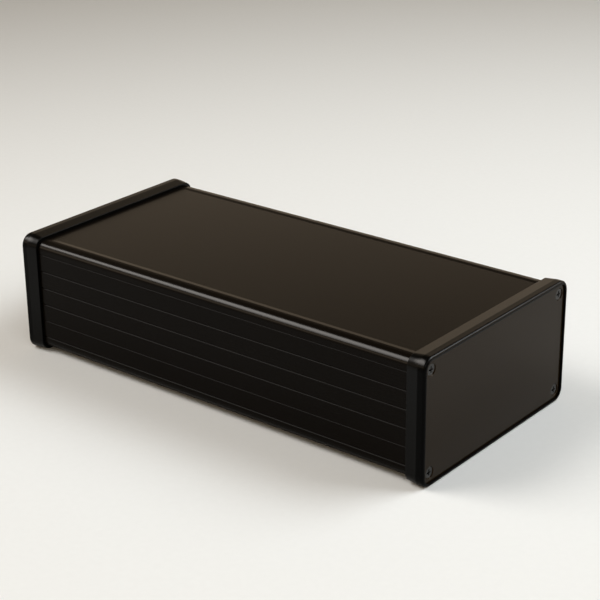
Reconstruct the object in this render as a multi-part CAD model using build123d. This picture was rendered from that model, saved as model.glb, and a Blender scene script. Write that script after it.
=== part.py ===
from build123d import *
import math
import os

# Extruded aluminium enclosure: a one-piece extruded body with a slide-in bottom cover,
# and at each end a moulded bezel, a sheet panel and four countersunk screws.
# Millimetres. X runs along the extrusion, Y across it, Z up.
# The origin is on the standing surface, below the middle of the enclosure.

# Body extrusion
body_length = 220.0
body_width = 103.0
body_height = 53.0
body_corner_radius = 3.5
lower_corner_radius = 4.5
side_wall = 1.3
top_wall = 1.6
shoulder_width = 5.4
shoulder_radius = 11.0
bead_height = 0.2
bead_width = 2.0

# Fine V lines along the outside of both side walls
line_pitch = 8.2
line_width = 0.7
line_depth = 0.35
line_margin = 1.0
faint_line_depth = 0.22
faint_lines = (1, 5)

# Board slots along the inside of both side walls
slot_pitch = 8.2
slot_width = 1.9
rib_thickness = 1.1
rib_reach = 1.8
rib_tip_radius = 0.25

# Screw bosses that run the whole length in the four corners
screw_inset = 4.0
boss_diameter = 6.2
boss_mouth = 1.3

# Channel for the bottom cover, in a flange along each bottom edge
flange_reach = 10.0
flange_height = 3.2
lip_thickness = 1.1
channel_height = 1.2
channel_depth = 2.4

# Bottom cover
cover_thickness = 2.2
cover_play = 0.2
cover_edge_radius = 0.3

# Moulded bezel
bezel_proud = 1.9
bezel_rear_proud = 1.25
skirt_overlap = 6.2
skirt_taper_length = 5.4
skirt_edge_radius = 0.3
web_thickness = 0.8
web_margin = 3.6
pad_reach = 3.9
window_corner_radius = 1.5
recess_depth = 0.8
lip_flat = 0.3
lip_radius = 1.2
socket_clearance = 0.1

# End panel
panel_thickness = 1.2
panel_clearance = 0.1
sink_diameter = 5.5
panel_hole_diameter = 3.3

# Countersunk tapping screw with a cross recess, its thread left as a plain shank
screw_shank_diameter = 2.6
screw_head_diameter = 4.8
screw_length = 9.5
screw_tip_length = 1.2
screw_tip_diameter = 1.8
screw_clearance = 0.05
screw_web_clearance = 0.7
cross_wing_width = 0.75
cross_mouth_diameter = 2.9
cross_floor_diameter = 1.1
cross_depth = 1.3

# Sizes that follow from the ones above
half_length = body_length / 2
half_width = body_width / 2
half_height = body_height / 2
inner_half_width = half_width - side_wall
inner_top = half_height - top_wall
screw_y = half_width - screw_inset
screw_z = half_height - screw_inset
boss_radius = boss_diameter / 2
shank_radius = screw_shank_diameter / 2
core_radius = shank_radius + screw_clearance
flange_y = half_width - flange_reach
channel_y = flange_y + channel_depth
flange_top = -half_height + flange_height
channel_floor = -half_height + lip_thickness
bezel_half_width = half_width + bezel_proud
bezel_half_height = half_height + bezel_proud
bezel_corner_radius = body_corner_radius + bezel_proud
web_front = half_length + web_thickness
panel_face = web_front + panel_thickness
lip_face = panel_face + recess_depth
skirt_rear = half_length - skirt_overlap
taper_end = skirt_rear + skirt_taper_length
recess_edge = lip_radius + lip_flat
recess_half_width = bezel_half_width - recess_edge
recess_half_height = bezel_half_height - recess_edge
recess_corner_radius = bezel_corner_radius - recess_edge
axis_height = bezel_half_height

across = Plane.YZ


def rounded_plate(half_y, half_z, radius, rear, front):
    """A plate with round corners, square to X, between two places along X."""
    outline = across.offset(rear) * RectangleRounded(2 * half_y, 2 * half_z, radius)
    return extrude(outline, front - rear)


def screw_places():
    """The four screw axes of one end, as places in the section."""
    return [(side * screw_y, level * screw_z) for side in (-1, 1) for level in (-1, 1)]


def evenly_spaced(pitch, room):
    """Heights at a given pitch, centred on zero, as many as the room takes."""
    count = int(room // pitch) + 1
    return [(index - (count - 1) / 2) * pitch for index in range(count)]


def body_outline(growth=0.0):
    """Outer outline of the body: flat top between two low beads, curved shoulders, round corners."""
    shoulder_y = half_width - shoulder_width
    shoulder_centre_z = half_height - shoulder_radius
    corner_y = half_width - body_corner_radius
    reach = shoulder_radius - body_corner_radius
    corner_z = shoulder_centre_z + math.sqrt(reach**2 - (corner_y - shoulder_y) ** 2)
    foot_y = half_width - lower_corner_radius
    foot_z = -half_height + lower_corner_radius
    flat_y = shoulder_y - bead_width
    flat_z = half_height - bead_height
    turn = math.degrees(math.asin((corner_y - shoulder_y) / reach))
    shoulder = CenterArc((shoulder_y, shoulder_centre_z), shoulder_radius, 90 - turn, turn)
    corner = CenterArc((corner_y, corner_z), body_corner_radius, 0, 90 - turn)
    side = Line((half_width, corner_z), (half_width, foot_z))
    foot = CenterArc((foot_y, foot_z), lower_corner_radius, -90, 90)
    ramp = Line((shoulder_y, half_height), (flat_y, flat_z))
    half = [ramp, shoulder, corner, side, foot]
    top = Line((-flat_y, flat_z), (flat_y, flat_z))
    bottom = Line((-foot_y, -half_height), (foot_y, -half_height))
    outline = make_face(half + [mirror(curve, Plane.YZ) for curve in half] + [top, bottom])
    if growth:
        outline = offset(outline, amount=growth)
    return outline


def span(low_y, high_y, low_z, high_z):
    """A rectangle of the section, given by its four sides."""
    middle = Pos((low_y + high_y) / 2, (low_z + high_z) / 2)
    return middle * Rectangle(high_y - low_y, high_z - low_z)


def side_lines():
    """The V lines cut along the outside of both side walls, numbered from the top."""
    corner = max(body_corner_radius, lower_corner_radius)
    room = 2 * (half_height - corner - line_margin)
    heights = evenly_spaced(line_pitch, room)[::-1]
    cuts = []
    for side in (-1, 1):
        for number, height in enumerate(heights, start=1):
            depth = faint_line_depth if number in faint_lines else line_depth
            width = line_width * depth / line_depth
            bottom = (side * (half_width - depth), height)
            above = (side * (half_width + depth), height + width)
            below = (side * (half_width + depth), height - width)
            cuts.append(Polygon(bottom, above, below, align=None))
    return cuts


def slot_ribs():
    """The pairs of ribs that hold a board's edges, on both side walls."""
    rib_pair = slot_width + 2 * rib_thickness
    room = 2 * (screw_z - boss_radius) - rib_pair
    ribs = []
    for side in (-1, 1):
        root = side * (inner_half_width + side_wall / 2)
        tip = side * (inner_half_width - rib_reach)
        for height in evenly_spaced(slot_pitch, room):
            for way in (-1, 1):
                near = height + way * slot_width / 2
                far = near + way * rib_thickness
                ribs.append(span(min(root, tip), max(root, tip), min(near, far), max(near, far)))
    return ribs


def bosses():
    """The four screw bosses: rounds, each joined solid to the corner behind it."""
    rounds = [Pos(y, z) * Circle(boss_radius) for y, z in screw_places()]
    roots = []
    for y, z in screw_places():
        wall_y = math.copysign(inner_half_width, y)
        wall_z = math.copysign(inner_top, z)
        roots.append(span(min(y, wall_y), max(y, wall_y), min(z, wall_z), max(z, wall_z)))
    return rounds + roots


def boss_cuts():
    """The cores of the bosses and the mouths that open them towards the inside."""
    cuts = []
    for y, z in screw_places():
        inward = math.degrees(math.atan2(-z / abs(z), -y / abs(y)))
        mouth = Pos(boss_radius, 0) * Rectangle(2 * boss_radius, boss_mouth)
        cuts.append(Pos(y, z) * Circle(core_radius))
        cuts.append(Pos(y, z) * Rot(0, 0, inward) * mouth)
    return cuts


def cover_channel():
    """The opening for the bottom cover, with a channel in each flange."""
    gap = span(-flange_y, flange_y, -half_height - flange_height, flange_top)
    channel = span(-channel_y, channel_y, channel_floor, channel_floor + channel_height)
    return [gap, channel]


def make_body():
    """The body: one extruded section, open below between its two flanges."""
    cavity = span(-inner_half_width, inner_half_width, flange_top, inner_top)
    section = body_outline() - cavity - cover_channel()
    section = section + bosses() + slot_ribs()
    section = section - boss_cuts() - side_lines()
    tip_y = inner_half_width - rib_reach
    rib_tips = [v for v in section.vertices() if math.isclose(abs(v.X), tip_y, abs_tol=1e-6)]
    section = fillet(rib_tips, rib_tip_radius)
    return extrude(across.offset(-half_length) * section, body_length)


def make_cover():
    """The bottom cover: flush with the body's underside, its two tongues in the channels."""
    plate_half = flange_y - cover_play
    tongue_half = channel_y - cover_play
    top = -half_height + cover_thickness
    plate = span(-plate_half, plate_half, -half_height, top)
    plate = fillet(plate.vertices().sort_by(Axis.Y)[:2], cover_edge_radius)
    section = plate + span(-tongue_half, tongue_half, channel_floor, top)
    return extrude(across.offset(-half_length) * section, body_length)


def bezel_window():
    """The hole in the bezel's web, which leaves a pad at each screw."""
    wide = Rectangle(2 * (recess_half_width - web_margin), 2 * (screw_z - pad_reach))
    tall = Rectangle(2 * (screw_y - pad_reach), 2 * (recess_half_height - web_margin))
    window = wide + tall
    return fillet(window.vertices(), window_corner_radius)


def make_bezel():
    """The front bezel: a tapered skirt over the body's end, a web and a rounded lip."""
    ring = rounded_plate(
        bezel_half_width, bezel_half_height, bezel_corner_radius, taper_end, lip_face
    )
    front_edges = ring.faces().sort_by(Axis.X)[-1].edges()
    ring = fillet(front_edges, lip_radius)
    slope = math.degrees(math.atan2(bezel_proud - bezel_rear_proud, skirt_taper_length))
    land = ring.faces().sort_by(Axis.X)[0]
    skirt = extrude(land, skirt_taper_length, dir=(-1, 0, 0), taper=slope)
    rear_edges = skirt.faces().sort_by(Axis.X)[0].edges()
    ring = ring + fillet(rear_edges, skirt_edge_radius)
    socket = extrude(across.offset(skirt_rear) * body_outline(socket_clearance), skirt_overlap)
    recess = rounded_plate(
        recess_half_width, recess_half_height, recess_corner_radius, web_front, lip_face
    )
    window = extrude(across.offset(half_length) * bezel_window(), web_thickness)
    hole = Circle(shank_radius + screw_web_clearance)
    holes = [
        extrude(across.offset(half_length) * Pos(y, z) * hole, web_thickness)
        for y, z in screw_places()
    ]
    return ring - socket - recess - window - holes


def sink_cutter():
    """A hole with its countersink, along X, from the panel's face inwards."""
    rim = sink_diameter / 2
    hole = panel_hole_diameter / 2
    depth = panel_thickness + (rim - hole)
    outline = Polygon((0, 0), (0, rim), (hole - rim, hole), (-depth, hole), (-depth, 0), align=None)
    return revolve(outline, Axis.X)


def make_panel():
    """The front panel: sheet with four countersunk holes, inside the bezel's lip."""
    plate = rounded_plate(
        recess_half_width - panel_clearance,
        recess_half_height - panel_clearance,
        recess_corner_radius - panel_clearance,
        web_front,
        panel_face,
    )
    return plate - [Pos(panel_face, y, z) * sink_cutter() for y, z in screw_places()]


def cross_recess():
    """The cross recess: two wings that narrow to a small floor."""
    wing = Rectangle(cross_mouth_diameter, cross_wing_width)
    cross = extrude(across.offset(-cross_depth) * (wing + Rot(0, 0, 90) * wing), cross_depth)
    mouth = cross_mouth_diameter / 2
    floor = cross_floor_diameter / 2
    bowl = Polygon((0, 0), (0, mouth), (-cross_depth, floor), (-cross_depth, 0), align=None)
    return cross & revolve(bowl, Axis.X)


def make_screw():
    """One screw along X, its head's face at X = 0 and its tip pointing to -X."""
    head = screw_head_diameter / 2
    tip = screw_tip_diameter / 2
    outline = Polygon(
        (0, 0),
        (0, head),
        (shank_radius - head, shank_radius),
        (screw_tip_length - screw_length, shank_radius),
        (-screw_length, tip),
        (-screw_length, 0),
        align=None,
    )
    return revolve(outline, Axis.X) - cross_recess()


def make_screws():
    """The four screws of the front end, their heads seated in the panel's countersinks."""
    sink = (sink_diameter - screw_head_diameter) / 2
    screw = make_screw()
    return Compound([Pos(panel_face - sink, y, z) * screw for y, z in screw_places()])


def raised(shape):
    """A piece drawn about the body's middle, raised to stand on Z = 0."""
    return Pos(0, 0, axis_height) * shape


def at_rear(shape):
    """A front-end piece, given half a turn so that it serves the rear end."""
    return raised(Rot(0, 0, 180) * shape)


bezel = make_bezel()
panel = make_panel()
screws = make_screws()

parts = {
    "body_extrusion": raised(make_body()),
    "bottom_cover": raised(make_cover()),
    "front_bezel": raised(bezel),
    "rear_bezel": at_rear(bezel),
    "front_panel": raised(panel),
    "rear_panel": at_rear(panel),
    "front_screws": raised(screws),
    "rear_screws": at_rear(screws),
}

os.makedirs("parts", exist_ok=True)
for name, shape in parts.items():
    export_step(shape, f"parts/{name}.step")
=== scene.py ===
# %% [markdown]
# # A black extruded aluminium enclosure
# The real object is a housing for electronics: one extruded aluminium body with a cover
# that slides in below, and at each end a moulded frame, a sheet panel and four screws.
# Its shape comes ready made from CAD, to the tenth of a millimetre, so nothing is
# remodelled here. This lesson gives each piece its finish, and then builds the small
# photo studio that makes black surfaces readable.

import math

import bpy
from mathutils import Matrix, Vector


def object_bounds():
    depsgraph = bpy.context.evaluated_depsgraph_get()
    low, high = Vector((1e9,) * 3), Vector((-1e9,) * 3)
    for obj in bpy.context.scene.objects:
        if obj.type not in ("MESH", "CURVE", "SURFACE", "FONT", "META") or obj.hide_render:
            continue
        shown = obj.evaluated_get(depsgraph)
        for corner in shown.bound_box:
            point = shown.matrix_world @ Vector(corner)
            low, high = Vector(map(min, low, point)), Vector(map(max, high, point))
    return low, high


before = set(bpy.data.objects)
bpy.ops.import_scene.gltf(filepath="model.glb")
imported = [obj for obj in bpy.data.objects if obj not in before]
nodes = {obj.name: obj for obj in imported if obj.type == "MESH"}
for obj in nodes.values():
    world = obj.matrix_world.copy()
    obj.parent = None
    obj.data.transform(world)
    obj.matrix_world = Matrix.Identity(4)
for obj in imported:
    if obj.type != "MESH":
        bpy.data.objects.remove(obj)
cad_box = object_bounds()
bpy.ops.object.select_all(action="DESELECT")
print("CAD nodes:", ", ".join(sorted(nodes)))

# %% [markdown]
# ## Calculating with shader sockets
# A finish is a sum of small effects, such as grain, die lines and uneven dye. Drawn as a
# node graph, such a sum is a long row of Math boxes. It could be clicked together by hand,
# but written as arithmetic it stays readable. The class below wraps one output socket:
# `1 - mask * 0.3` on it adds the Math nodes, `larger` keeps the stronger of two patterns,
# and `node` adds any other kind of node.


# %% A socket that Python can calculate with
class Wire:
    """One output socket of a material's node tree."""

    def __init__(self, tree, socket):
        self.tree = tree
        self.socket = socket

    @classmethod
    def node(cls, tree, kind, settings, values, output=0):
        """Adds one node: first its settings, then the values or links of its sockets."""
        made = tree.nodes.new(kind)
        for name, value in settings.items():
            if name == "stops":
                cls.set_stops(made.color_ramp, value)
            else:
                setattr(made, name, value)
        for name, value in values.items():
            socket = made.inputs[name]
            if isinstance(value, Wire):
                tree.links.new(value.socket, socket)
            else:
                socket.default_value = value
        return cls(tree, made.outputs[output])

    @staticmethod
    def set_stops(ramp, stops):
        """Gives a colour ramp its stops, as (place, brightness) pairs."""
        while len(ramp.elements) < len(stops):
            ramp.elements.new(1.0)
        for element, (place, level) in zip(ramp.elements, stops):
            element.position = place
            element.color = (level, level, level, 1.0)

    def math(self, operation, *values):
        """Adds one Math node, with the values in the order of its sockets."""
        values = dict(enumerate(values))
        return self.node(self.tree, "ShaderNodeMath", {"operation": operation}, values)

    def __add__(self, other):
        return self.math("ADD", self, other)

    def __sub__(self, other):
        return self.math("SUBTRACT", self, other)

    def __rsub__(self, other):
        return self.math("SUBTRACT", other, self)

    def __mul__(self, other):
        return self.math("MULTIPLY", self, other)

    def __abs__(self):
        return self.math("ABSOLUTE", self)

    def larger(self, other):
        """The larger of two patterns at each point."""
        return self.math("MAXIMUM", self, other)

    __radd__ = __add__
    __rmul__ = __mul__


# %% [markdown]
# ## A blank finish
# Each finish is one Principled shader with patterns in front of it. Such a shader could be
# set up by hand for every piece, but all of them start and end in the same way. So one
# helper makes the blank, one plugs the patterns in and sets the numbers that are the same
# all over, and one puts the result on the pieces.

# %% Start a finish, connect it and put it on
MILLIMETRE = 0.001


def new_finish(name):
    """A fresh material with its node tree, its Principled shader and Object coordinates."""
    material = bpy.data.materials.new(name)
    material.use_nodes = True
    tree = material.node_tree
    shader = tree.nodes["Principled BSDF"]
    place = Wire.node(tree, "ShaderNodeTexCoord", {}, {}, output="Object")
    return material, tree, shader, place


def connect(tree, shader, links, constants):
    """Links what varies to the shader, and sets what doesn't on its own sockets."""
    for name, wire in links.items():
        tree.links.new(wire.socket, shader.inputs[name])
    for name, value in constants.items():
        shader.inputs[name].default_value = value


def dress(material, *names):
    """Gives CAD nodes their finish, in every material slot that they have."""
    for name in names:
        for slot in nodes[name].material_slots:
            slot.material = material
    print(material.name, "on", ", ".join(names))


# %% [markdown]
# ## Patterns by their real size
# All patterns read Object coordinates. The pieces are in metres and their objects sit at
# the origin, so a pattern is given by its real size: a grain 0.2 mm across has a scale of
# 1 / 0.0002. Stretching the coordinates along one axis turns a round grain into lines,
# which is how both the die lines of an extrusion and the lay of rolled sheet are made.

# %% Grain, contrast, colour and bump
MIX_FIRST, MIX_SECOND, MIX_RESULT = 6, 7, 2  # the colour sockets of a Mix node


def grain(tree, place, size, detail=2.0):
    """Soft noise from 0 to 1. Size is one grain's along X, Y and Z, in millimetres."""
    scale = [1 / (length * MILLIMETRE) for length in size]
    stretched = Wire.node(tree, "ShaderNodeMapping", {}, {"Vector": place, "Scale": scale})
    values = {"Vector": stretched, "Scale": 1.0, "Detail": detail}
    return Wire.node(tree, "ShaderNodeTexNoise", {"noise_dimensions": "3D"}, values)


def spread(tree, pattern, low, high):
    """Stretches the part of a pattern between two levels to the full range, 0 to 1."""
    values = {"Value": pattern, "From Min": low, "From Max": high}
    return Wire.node(tree, "ShaderNodeMapRange", {"clamp": True}, values)


def contrast(tree, pattern):
    """Noise seldom leaves its middle levels, so those are stretched to the full range."""
    return spread(tree, pattern, 0.3, 0.7)


def between(tree, mask, first, second):
    """The first colour where the mask is 0, the second where it is 1."""
    values = {"Factor": mask, MIX_FIRST: (*first, 1.0), MIX_SECOND: (*second, 1.0)}
    settings = {"data_type": "RGBA"}
    return Wire.node(tree, "ShaderNodeMix", settings, values, output=MIX_RESULT)


def bump(tree, height, depth, under=None):
    """A normal bent by a height pattern. Depth is in millimetres for the full range."""
    values = {"Height": height, "Strength": 1.0, "Distance": depth * MILLIMETRE}
    if under:
        values["Normal"] = under
    return Wire.node(tree, "ShaderNodeBump", {}, values)


# %% [markdown]
# ## Masks by place
# Edges that are touched and rubbed become glossier than the flats between them. They could
# be painted by hand, but this shape is so regular that the place alone tells them apart.
# Going round the section, the distance from the middle plane and the height above the
# middle, added up, are largest on the upper rounded edge. So a limit on that sum picks the
# edge along its whole length, on both sides at once.

# %% Bands along one axis, and the upper edges
MIDDLE_HEIGHT = (cad_box[0].z + cad_box[1].z) / 2
print("middle height:", round(MIDDLE_HEIGHT / MILLIMETRE, 1), "mm")


def along(tree, place, axis):
    """How far along one axis a point lies, in metres."""
    return Wire.node(tree, "ShaderNodeSeparateXYZ", {}, {"Vector": place}, output=axis)


def beyond(tree, distance, start, end):
    """0 below the start and 1 past the end, both in millimetres."""
    return spread(tree, distance, start * MILLIMETRE, end * MILLIMETRE)


def upper_edges(tree, place, axis, start, end):
    """1 on the upper edges that face along an axis: reach and height are added up."""
    total = abs(along(tree, place, axis)) + along(tree, place, "Z") - MIDDLE_HEIGHT
    return beyond(tree, total, start, end)


# %% [markdown]
# ## Anodised extrusion
# Body and cover are pushed through a steel die, etched matt and dyed black. The die leaves
# faint lines along the whole length, and the etch a very fine grain across them. The real
# lines are far too thin and many to model, so they are noise stretched a thousandfold
# along X. They change the roughness more than the colour, because it is the glancing
# light that shows them. Blotches a few centimetres wide stand for uneven dye. The two
# rounded upper edges are polished by handling, which a coat limited to them gives, and the
# lowest edges, which nobody touches, stay dull. Colour and refractive index are lower here
# than on a real black anodised surface, and so are the other finishes', because the
# photograph renders its blacks deeper than they are.

# %% The extrusion's finish
BODY_DYE = (0.0022, 0.0014, 0.0008), (0.0032, 0.0022, 0.0013)
BODY_SATIN = 0.18
BODY_EDGES = 74.9, 75.4  # where the mask starts and ends, in millimetres
BODY_FOOT = 2.5, 5.0
FOOT_DULLNESS = 0.6

material, tree, shader, place = new_finish("black_anodised_extrusion")
die_lines = grain(tree, place, (900, 0.9, 0.9), detail=3.0)
fine_lines = grain(tree, place, (120, 0.25, 0.25))
etch = grain(tree, place, (0.25, 0.25, 0.25))
blotches = grain(tree, place, (60, 40, 40))
shade = contrast(tree, etch * 0.5 + die_lines * 0.3 + blotches * 0.2)
satin = die_lines * 0.06 + etch * 0.05 + blotches * 0.04 + BODY_SATIN
foot = 1 - beyond(tree, along(tree, place, "Z"), *BODY_FOOT)
links = {
    "Base Color": between(tree, shade, *BODY_DYE),
    "Roughness": satin + foot * FOOT_DULLNESS,
    "Coat Weight": upper_edges(tree, place, "Y", *BODY_EDGES),
    "Normal": bump(tree, etch * 0.6 + fine_lines * 0.4, depth=0.004),
}
connect(tree, shader, links, {"IOR": 1.13, "Coat Roughness": 0.19, "Coat IOR": 1.325})
dress(material, "body_extrusion", "bottom_cover")

# %% [markdown]
# ## Anodised panel
# The end panels are sheared from rolled sheet. Rolling leaves a short grain in one
# direction, here across the enclosure, and etching softens it. The sheet takes a browner
# black than the extrusion beside it, which the photograph shows. A browner base alone would
# hardly be seen, since a black surface mostly mirrors, so the mirrored light is tinted too.

# %% The panels' finish
SHEET_DYE = (0.0064, 0.0036, 0.0009), (0.0088, 0.0050, 0.0013)
SHEET_SATIN = 0.15
SHEET_TINT = (1.0, 0.78, 0.58, 1.0)

material, tree, shader, place = new_finish("black_anodised_sheet")
rolled = grain(tree, place, (0.3, 3.0, 0.3), detail=3.0)
etch = grain(tree, place, (0.22, 0.22, 0.22))
clouds = grain(tree, place, (20, 25, 25))
shade = contrast(tree, etch * 0.4 + rolled * 0.4 + clouds * 0.2)
links = {
    "Base Color": between(tree, shade, *SHEET_DYE),
    "Roughness": rolled * 0.05 + etch * 0.04 + clouds * 0.03 + SHEET_SATIN,
    "Normal": bump(tree, etch * 0.5 + rolled * 0.5, depth=0.004),
}
connect(tree, shader, links, {"IOR": 1.194, "Specular Tint": SHEET_TINT})
dress(material, "front_panel", "rear_panel")

# %% [markdown]
# ## Where a bezel shines
# The bezels are injection moulded in one black plastic, but they don't shine evenly. The
# tapered skirt and the top have a soft sheen, the upright land between the skirt and the
# lip is duller, and the rounded corners and the lip's upper edge catch the light. One gloss
# for all would miss that, and several materials would show seams between them. So each
# zone gets a mask, and where two overlap the stronger one counts.

# %% The gloss of a bezel, zone by zone
BEZEL_CORNERS = 77.9, 78.5  # where each mask starts and ends, in millimetres
BEZEL_FRONT = 138.0, 139.0
BEZEL_LIP = 140.1, 140.5
BEZEL_LAND = 109.1, 109.6
BEZEL_TOP = 55.0, 55.6
LIP_GLOSS = 0.6
SKIRT_GLOSS = 0.25
TOP_GLOSS = 0.22


def bezel_gloss(tree, place):
    """The strength of the coat on a bezel, from 0 to 1."""
    corners = upper_edges(tree, place, "Y", *BEZEL_CORNERS)
    front = upper_edges(tree, place, "X", *BEZEL_FRONT)
    lip = upper_edges(tree, place, "X", *BEZEL_LIP)
    skirt = 1 - beyond(tree, abs(along(tree, place, "X")), *BEZEL_LAND)
    top = beyond(tree, along(tree, place, "Z"), *BEZEL_TOP)
    edges = (corners * (1 - front)).larger(lip * LIP_GLOSS)
    return edges.larger((skirt * SKIRT_GLOSS).larger(top * TOP_GLOSS))


# %% [markdown]
# ## Moulded plastic
# The bezels' mould was spark eroded, which leaves a skin of tiny round craters with a soft
# sheen between. Two noises of different size make it, the finer one on top of the coarser.
# A moulded skin has no lines and almost no colour change.

# %% The bezels' finish
PLASTIC_BLACK = (0.0004, 0.0004, 0.0004), (0.0008, 0.0008, 0.0007)
PLASTIC_SHEEN = 0.26

material, tree, shader, place = new_finish("black_moulded_plastic")
craters = grain(tree, place, (0.45, 0.45, 0.45))
skin = grain(tree, place, (0.16, 0.16, 0.16))
flow = grain(tree, place, (18, 18, 18))
links = {
    "Base Color": between(tree, contrast(tree, skin * 0.6 + flow * 0.4), *PLASTIC_BLACK),
    "Roughness": skin * 0.08 + flow * 0.05 + PLASTIC_SHEEN,
    "Coat Weight": bezel_gloss(tree, place),
    "Normal": bump(tree, skin, depth=0.004, under=bump(tree, craters, depth=0.006)),
}
connect(tree, shader, links, {"IOR": 1.115, "Coat Roughness": 0.25, "Coat IOR": 1.33})
dress(material, "front_bezel", "rear_bezel")

# %% [markdown]
# ## Black screws
# The screws are steel, blackened in a bath, and tumbled together in it. That leaves a thin
# dark skin with tiny bare spots, so this is the one finish with metal in it: a
# mask of small speckles drives both the colour and how metallic it is.

# %% The screws' finish
SCREW_SKIN = (0.008, 0.008, 0.008)
BARE_STEEL = (0.050, 0.048, 0.045)
SCREW_SHEEN = 0.20

material, tree, shader, place = new_finish("black_plated_steel")
flecks = grain(tree, place, (0.3, 0.3, 0.3), detail=4.0)
speckle = spread(tree, flecks, low=0.55, high=0.75)
tumbled = grain(tree, place, (0.15, 0.15, 0.15))
links = {
    "Base Color": between(tree, speckle, SCREW_SKIN, BARE_STEEL),
    "Metallic": speckle * 0.5 + 0.2,
    "Roughness": tumbled * 0.08 + SCREW_SHEEN,
    "Normal": bump(tree, tumbled, depth=0.006),
}
connect(tree, shader, links, {"IOR": 1.35})
dress(material, "front_screws", "rear_screws")

# %% [markdown]
# ## The tabletop
# The enclosure stands on a wide sheet of white paper with no edge in sight. A plane would
# do for one view, but the part is looked at from all sides, so the paper is round. Its rim
# is turned up by insetting the disc and lifting the outer ring, and shaded smooth, so that
# no view meets a hard edge.

# %% The paper
PAPER_RADIUS = 4.0
RIM_WIDTH = 0.6
RIM_HEIGHT = 0.25


def make_paper():
    """A round sheet of paper, its outer rim raised."""
    bpy.ops.mesh.primitive_circle_add(vertices=96, radius=PAPER_RADIUS, fill_type="NGON")
    paper = bpy.context.object
    paper.name = "white_paper"
    bpy.ops.object.mode_set(mode="EDIT")
    bpy.ops.mesh.select_all(action="SELECT")
    bpy.ops.mesh.inset(thickness=RIM_WIDTH)
    bpy.ops.object.mode_set(mode="OBJECT")
    for vertex in paper.data.vertices:
        if vertex.co.xy.length > PAPER_RADIUS - RIM_WIDTH / 2:
            vertex.co.z = RIM_HEIGHT
    bpy.ops.object.shade_smooth()
    print("paper:", len(paper.data.polygons), "faces")
    return paper


paper = make_paper()

# %% [markdown]
# ## The paper's colour
# Paper is nearly white and quite matt. It could be one flat colour, but real paper has
# faint fibres, so a little noise goes into its colour. It is a trace cooler than grey,
# because the light on it is a trace warm.

# %% The paper's finish
PAPER_WHITE = (0.791, 0.811, 0.808), (0.821, 0.841, 0.838)

material, tree, shader, place = new_finish("white_paper")
fibres = grain(tree, place, (3, 3, 3), detail=4.0)
links = {"Base Color": between(tree, fibres, *PAPER_WHITE)}
connect(tree, shader, links, {"Roughness": 0.9, "Specular IOR Level": 0.1})
paper.data.materials.append(material)
print(material.name, "on", paper.name)

# %% [markdown]
# ## Hanging a lamp
# A black satin surface shows almost nothing of its own colour. What it shows is its
# surroundings, so each lamp is placed for the reflection it makes. Lamps aimed by hand
# tend to drift, so a soft box is given here by its direction and distance from the
# enclosure, and is turned in code to the point it is aimed at. Its beam is narrowed, as a
# grid in front of a real soft box does, so the floor darkens away from the enclosure.

# %% A soft box
BODY_MIDDLE = Vector((0.0, 0.0, 0.03))


def soft_box(name, direction, distance, size, power, colour, beam, aim):
    """A rectangular lamp, placed by its direction and turned to the point aimed at."""
    lamp = bpy.data.lights.new(name, "AREA")
    lamp.shape = "RECTANGLE"
    lamp.size, lamp.size_y = size
    lamp.energy = power
    lamp.color = colour
    lamp.spread = math.radians(beam)
    holder = bpy.data.objects.new(name, lamp)
    bpy.context.scene.collection.objects.link(holder)
    holder.location = BODY_MIDDLE + Vector(direction).normalized() * distance
    holder.rotation_euler = (holder.location - aim).to_track_quat("Z", "Y").to_euler()
    print(name, [round(value, 2) for value in holder.location])


# %% [markdown]
# ## Three lamps for a black object
# One lamp would leave either the edges or the floor dark. A slightly warm soft box, high on
# the left, gives the long bright line on the near top edge and the thin lines in the side.
# It is aimed a little in front, where the floor is brightest. A cool one behind on the
# right lights the bezel's lip and most of the floor, and throws the shadow to the front
# left. A weak one on the near right fills the front.

# %% The three soft boxes
IN_FRONT = Vector((0.15, -0.10, 0.0))
WARM = (0.98, 0.93, 0.88)
COOL = (0.93, 0.97, 1.0)

LEFT_BOX = {
    "direction": (-0.49, -0.41, 0.72), "distance": 1.45, "size": (0.87, 0.87),
    "power": 3.05, "colour": WARM, "beam": 80, "aim": IN_FRONT,
}
BEHIND_BOX = {
    "direction": (0.51, 0.51, 0.69), "distance": 1.35, "size": (1.0, 0.7),
    "power": 4.7, "colour": COOL, "beam": 100, "aim": BODY_MIDDLE,
}
RIGHT_BOX = {
    "direction": (0.66, -0.38, 0.64), "distance": 1.5, "size": (0.8, 0.8),
    "power": 1.0, "colour": COOL, "beam": 100, "aim": BODY_MIDDLE,
}

soft_box("soft_box_left", **LEFT_BOX)
soft_box("soft_box_behind", **BEHIND_BOX)
soft_box("soft_box_right", **RIGHT_BOX)

# %% [markdown]
# ## The room around it
# The flat top and the bezels' tapers mirror neither a lamp nor the floor, but the walls of
# the room. An even grey room would make them flat. Here the walls are lit warmly low down
# and are dark overhead, so that the top gets its brown sheen, brighter towards the far end,
# and the rounded edges keep a dark line beside the bright one. A ramp on the height of the
# direction looked in does that, and no picture of a room is needed.

# %% The room's glow
ROOM_COLOUR = (1.36, 1.08, 0.78, 1.0)
GLOW_BY_HEIGHT = [
    (0.0, 0.25), (0.10, 0.85), (0.25, 1.0), (0.33, 0.475), (0.42, 0.24), (0.60, 0.06),
]

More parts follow.
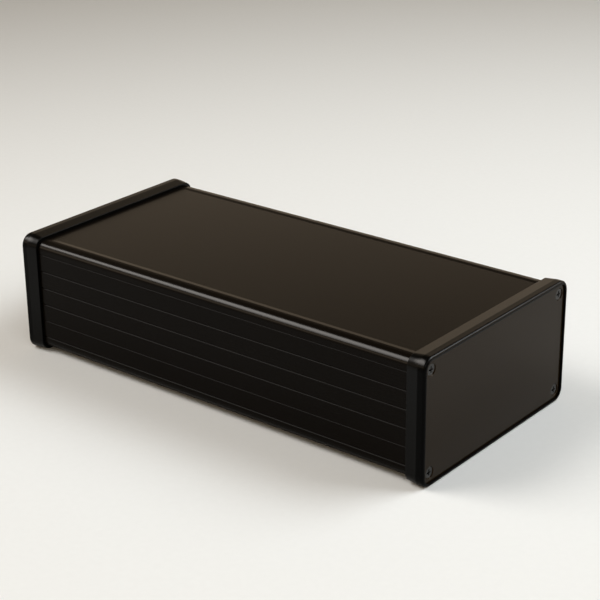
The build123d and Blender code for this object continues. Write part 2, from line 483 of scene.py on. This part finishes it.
world = bpy.data.worlds.new("studio_room")
bpy.context.scene.world = world
world.use_nodes = True
tree = world.node_tree
room = tree.nodes["Background"]
direction = Wire.node(tree, "ShaderNodeTexCoord", {}, {}, output="Generated")
height = along(tree, direction, "Z")
glow = Wire.node(tree, "ShaderNodeValToRGB", {"stops": GLOW_BY_HEIGHT}, {"Fac": height})
connect(tree, room, {"Strength": glow}, {"Color": ROOM_COLOUR})
print(world.name, "with", len(GLOW_BY_HEIGHT), "levels of glow")

# %% [markdown]
# ## Where the camera stands
# The camera stands where the real one did. Its place, lens and slight tilt were worked out
# beforehand from the enclosure's edges in the photograph, and are given here as numbers:
# the direction and distance from a point near the enclosure's middle. Two angles give the
# direction, and a third turns the frame a little about it.

# %% The camera's place and directions
AZIMUTH = math.radians(39.04)
ELEVATION = math.radians(22.836)
ROLL = math.radians(-0.629)
DISTANCE = 0.74607
LOOK_AT = Vector((0.00864, -0.00013, 0.03776))

back = Vector((
    math.sin(AZIMUTH) * math.cos(ELEVATION),
    -math.cos(AZIMUTH) * math.cos(ELEVATION),
    math.sin(ELEVATION),
))
level_right = Vector((0, 0, 1)).cross(back).normalized()
level_up = back.cross(level_right)
right = level_right * math.cos(ROLL) + level_up * math.sin(ROLL)
up = back.cross(right)
print("direction to the camera:", [round(value, 3) for value in back])

# %% [markdown]
# ## The camera
# The fit gives the focal length in pixels of the picture, and Blender wants it in
# millimetres, so it is worked out from the sensor's width. The camera could be turned by
# angles, but three directions at right angles to each other are its turn already.

# %% Make the camera
SENSOR = 36.0
FOCAL_PIXELS = 1680.26
PICTURE_PIXELS = 600

camera_data = bpy.data.cameras.new("studio_camera")
camera_data.sensor_width = SENSOR
camera_data.lens = SENSOR * FOCAL_PIXELS / PICTURE_PIXELS
camera_data.clip_start = 0.01
camera_data.clip_end = 50.0
camera = bpy.data.objects.new("studio_camera", camera_data)
bpy.context.scene.collection.objects.link(camera)
turn = Matrix((right, up, back)).transposed().to_4x4()
camera.matrix_world = Matrix.Translation(LOOK_AT + back * DISTANCE) @ turn
bpy.context.scene.camera = camera
bpy.context.scene.view_settings.view_transform = "Standard"
print("camera at", [round(value, 4) for value in camera.location])
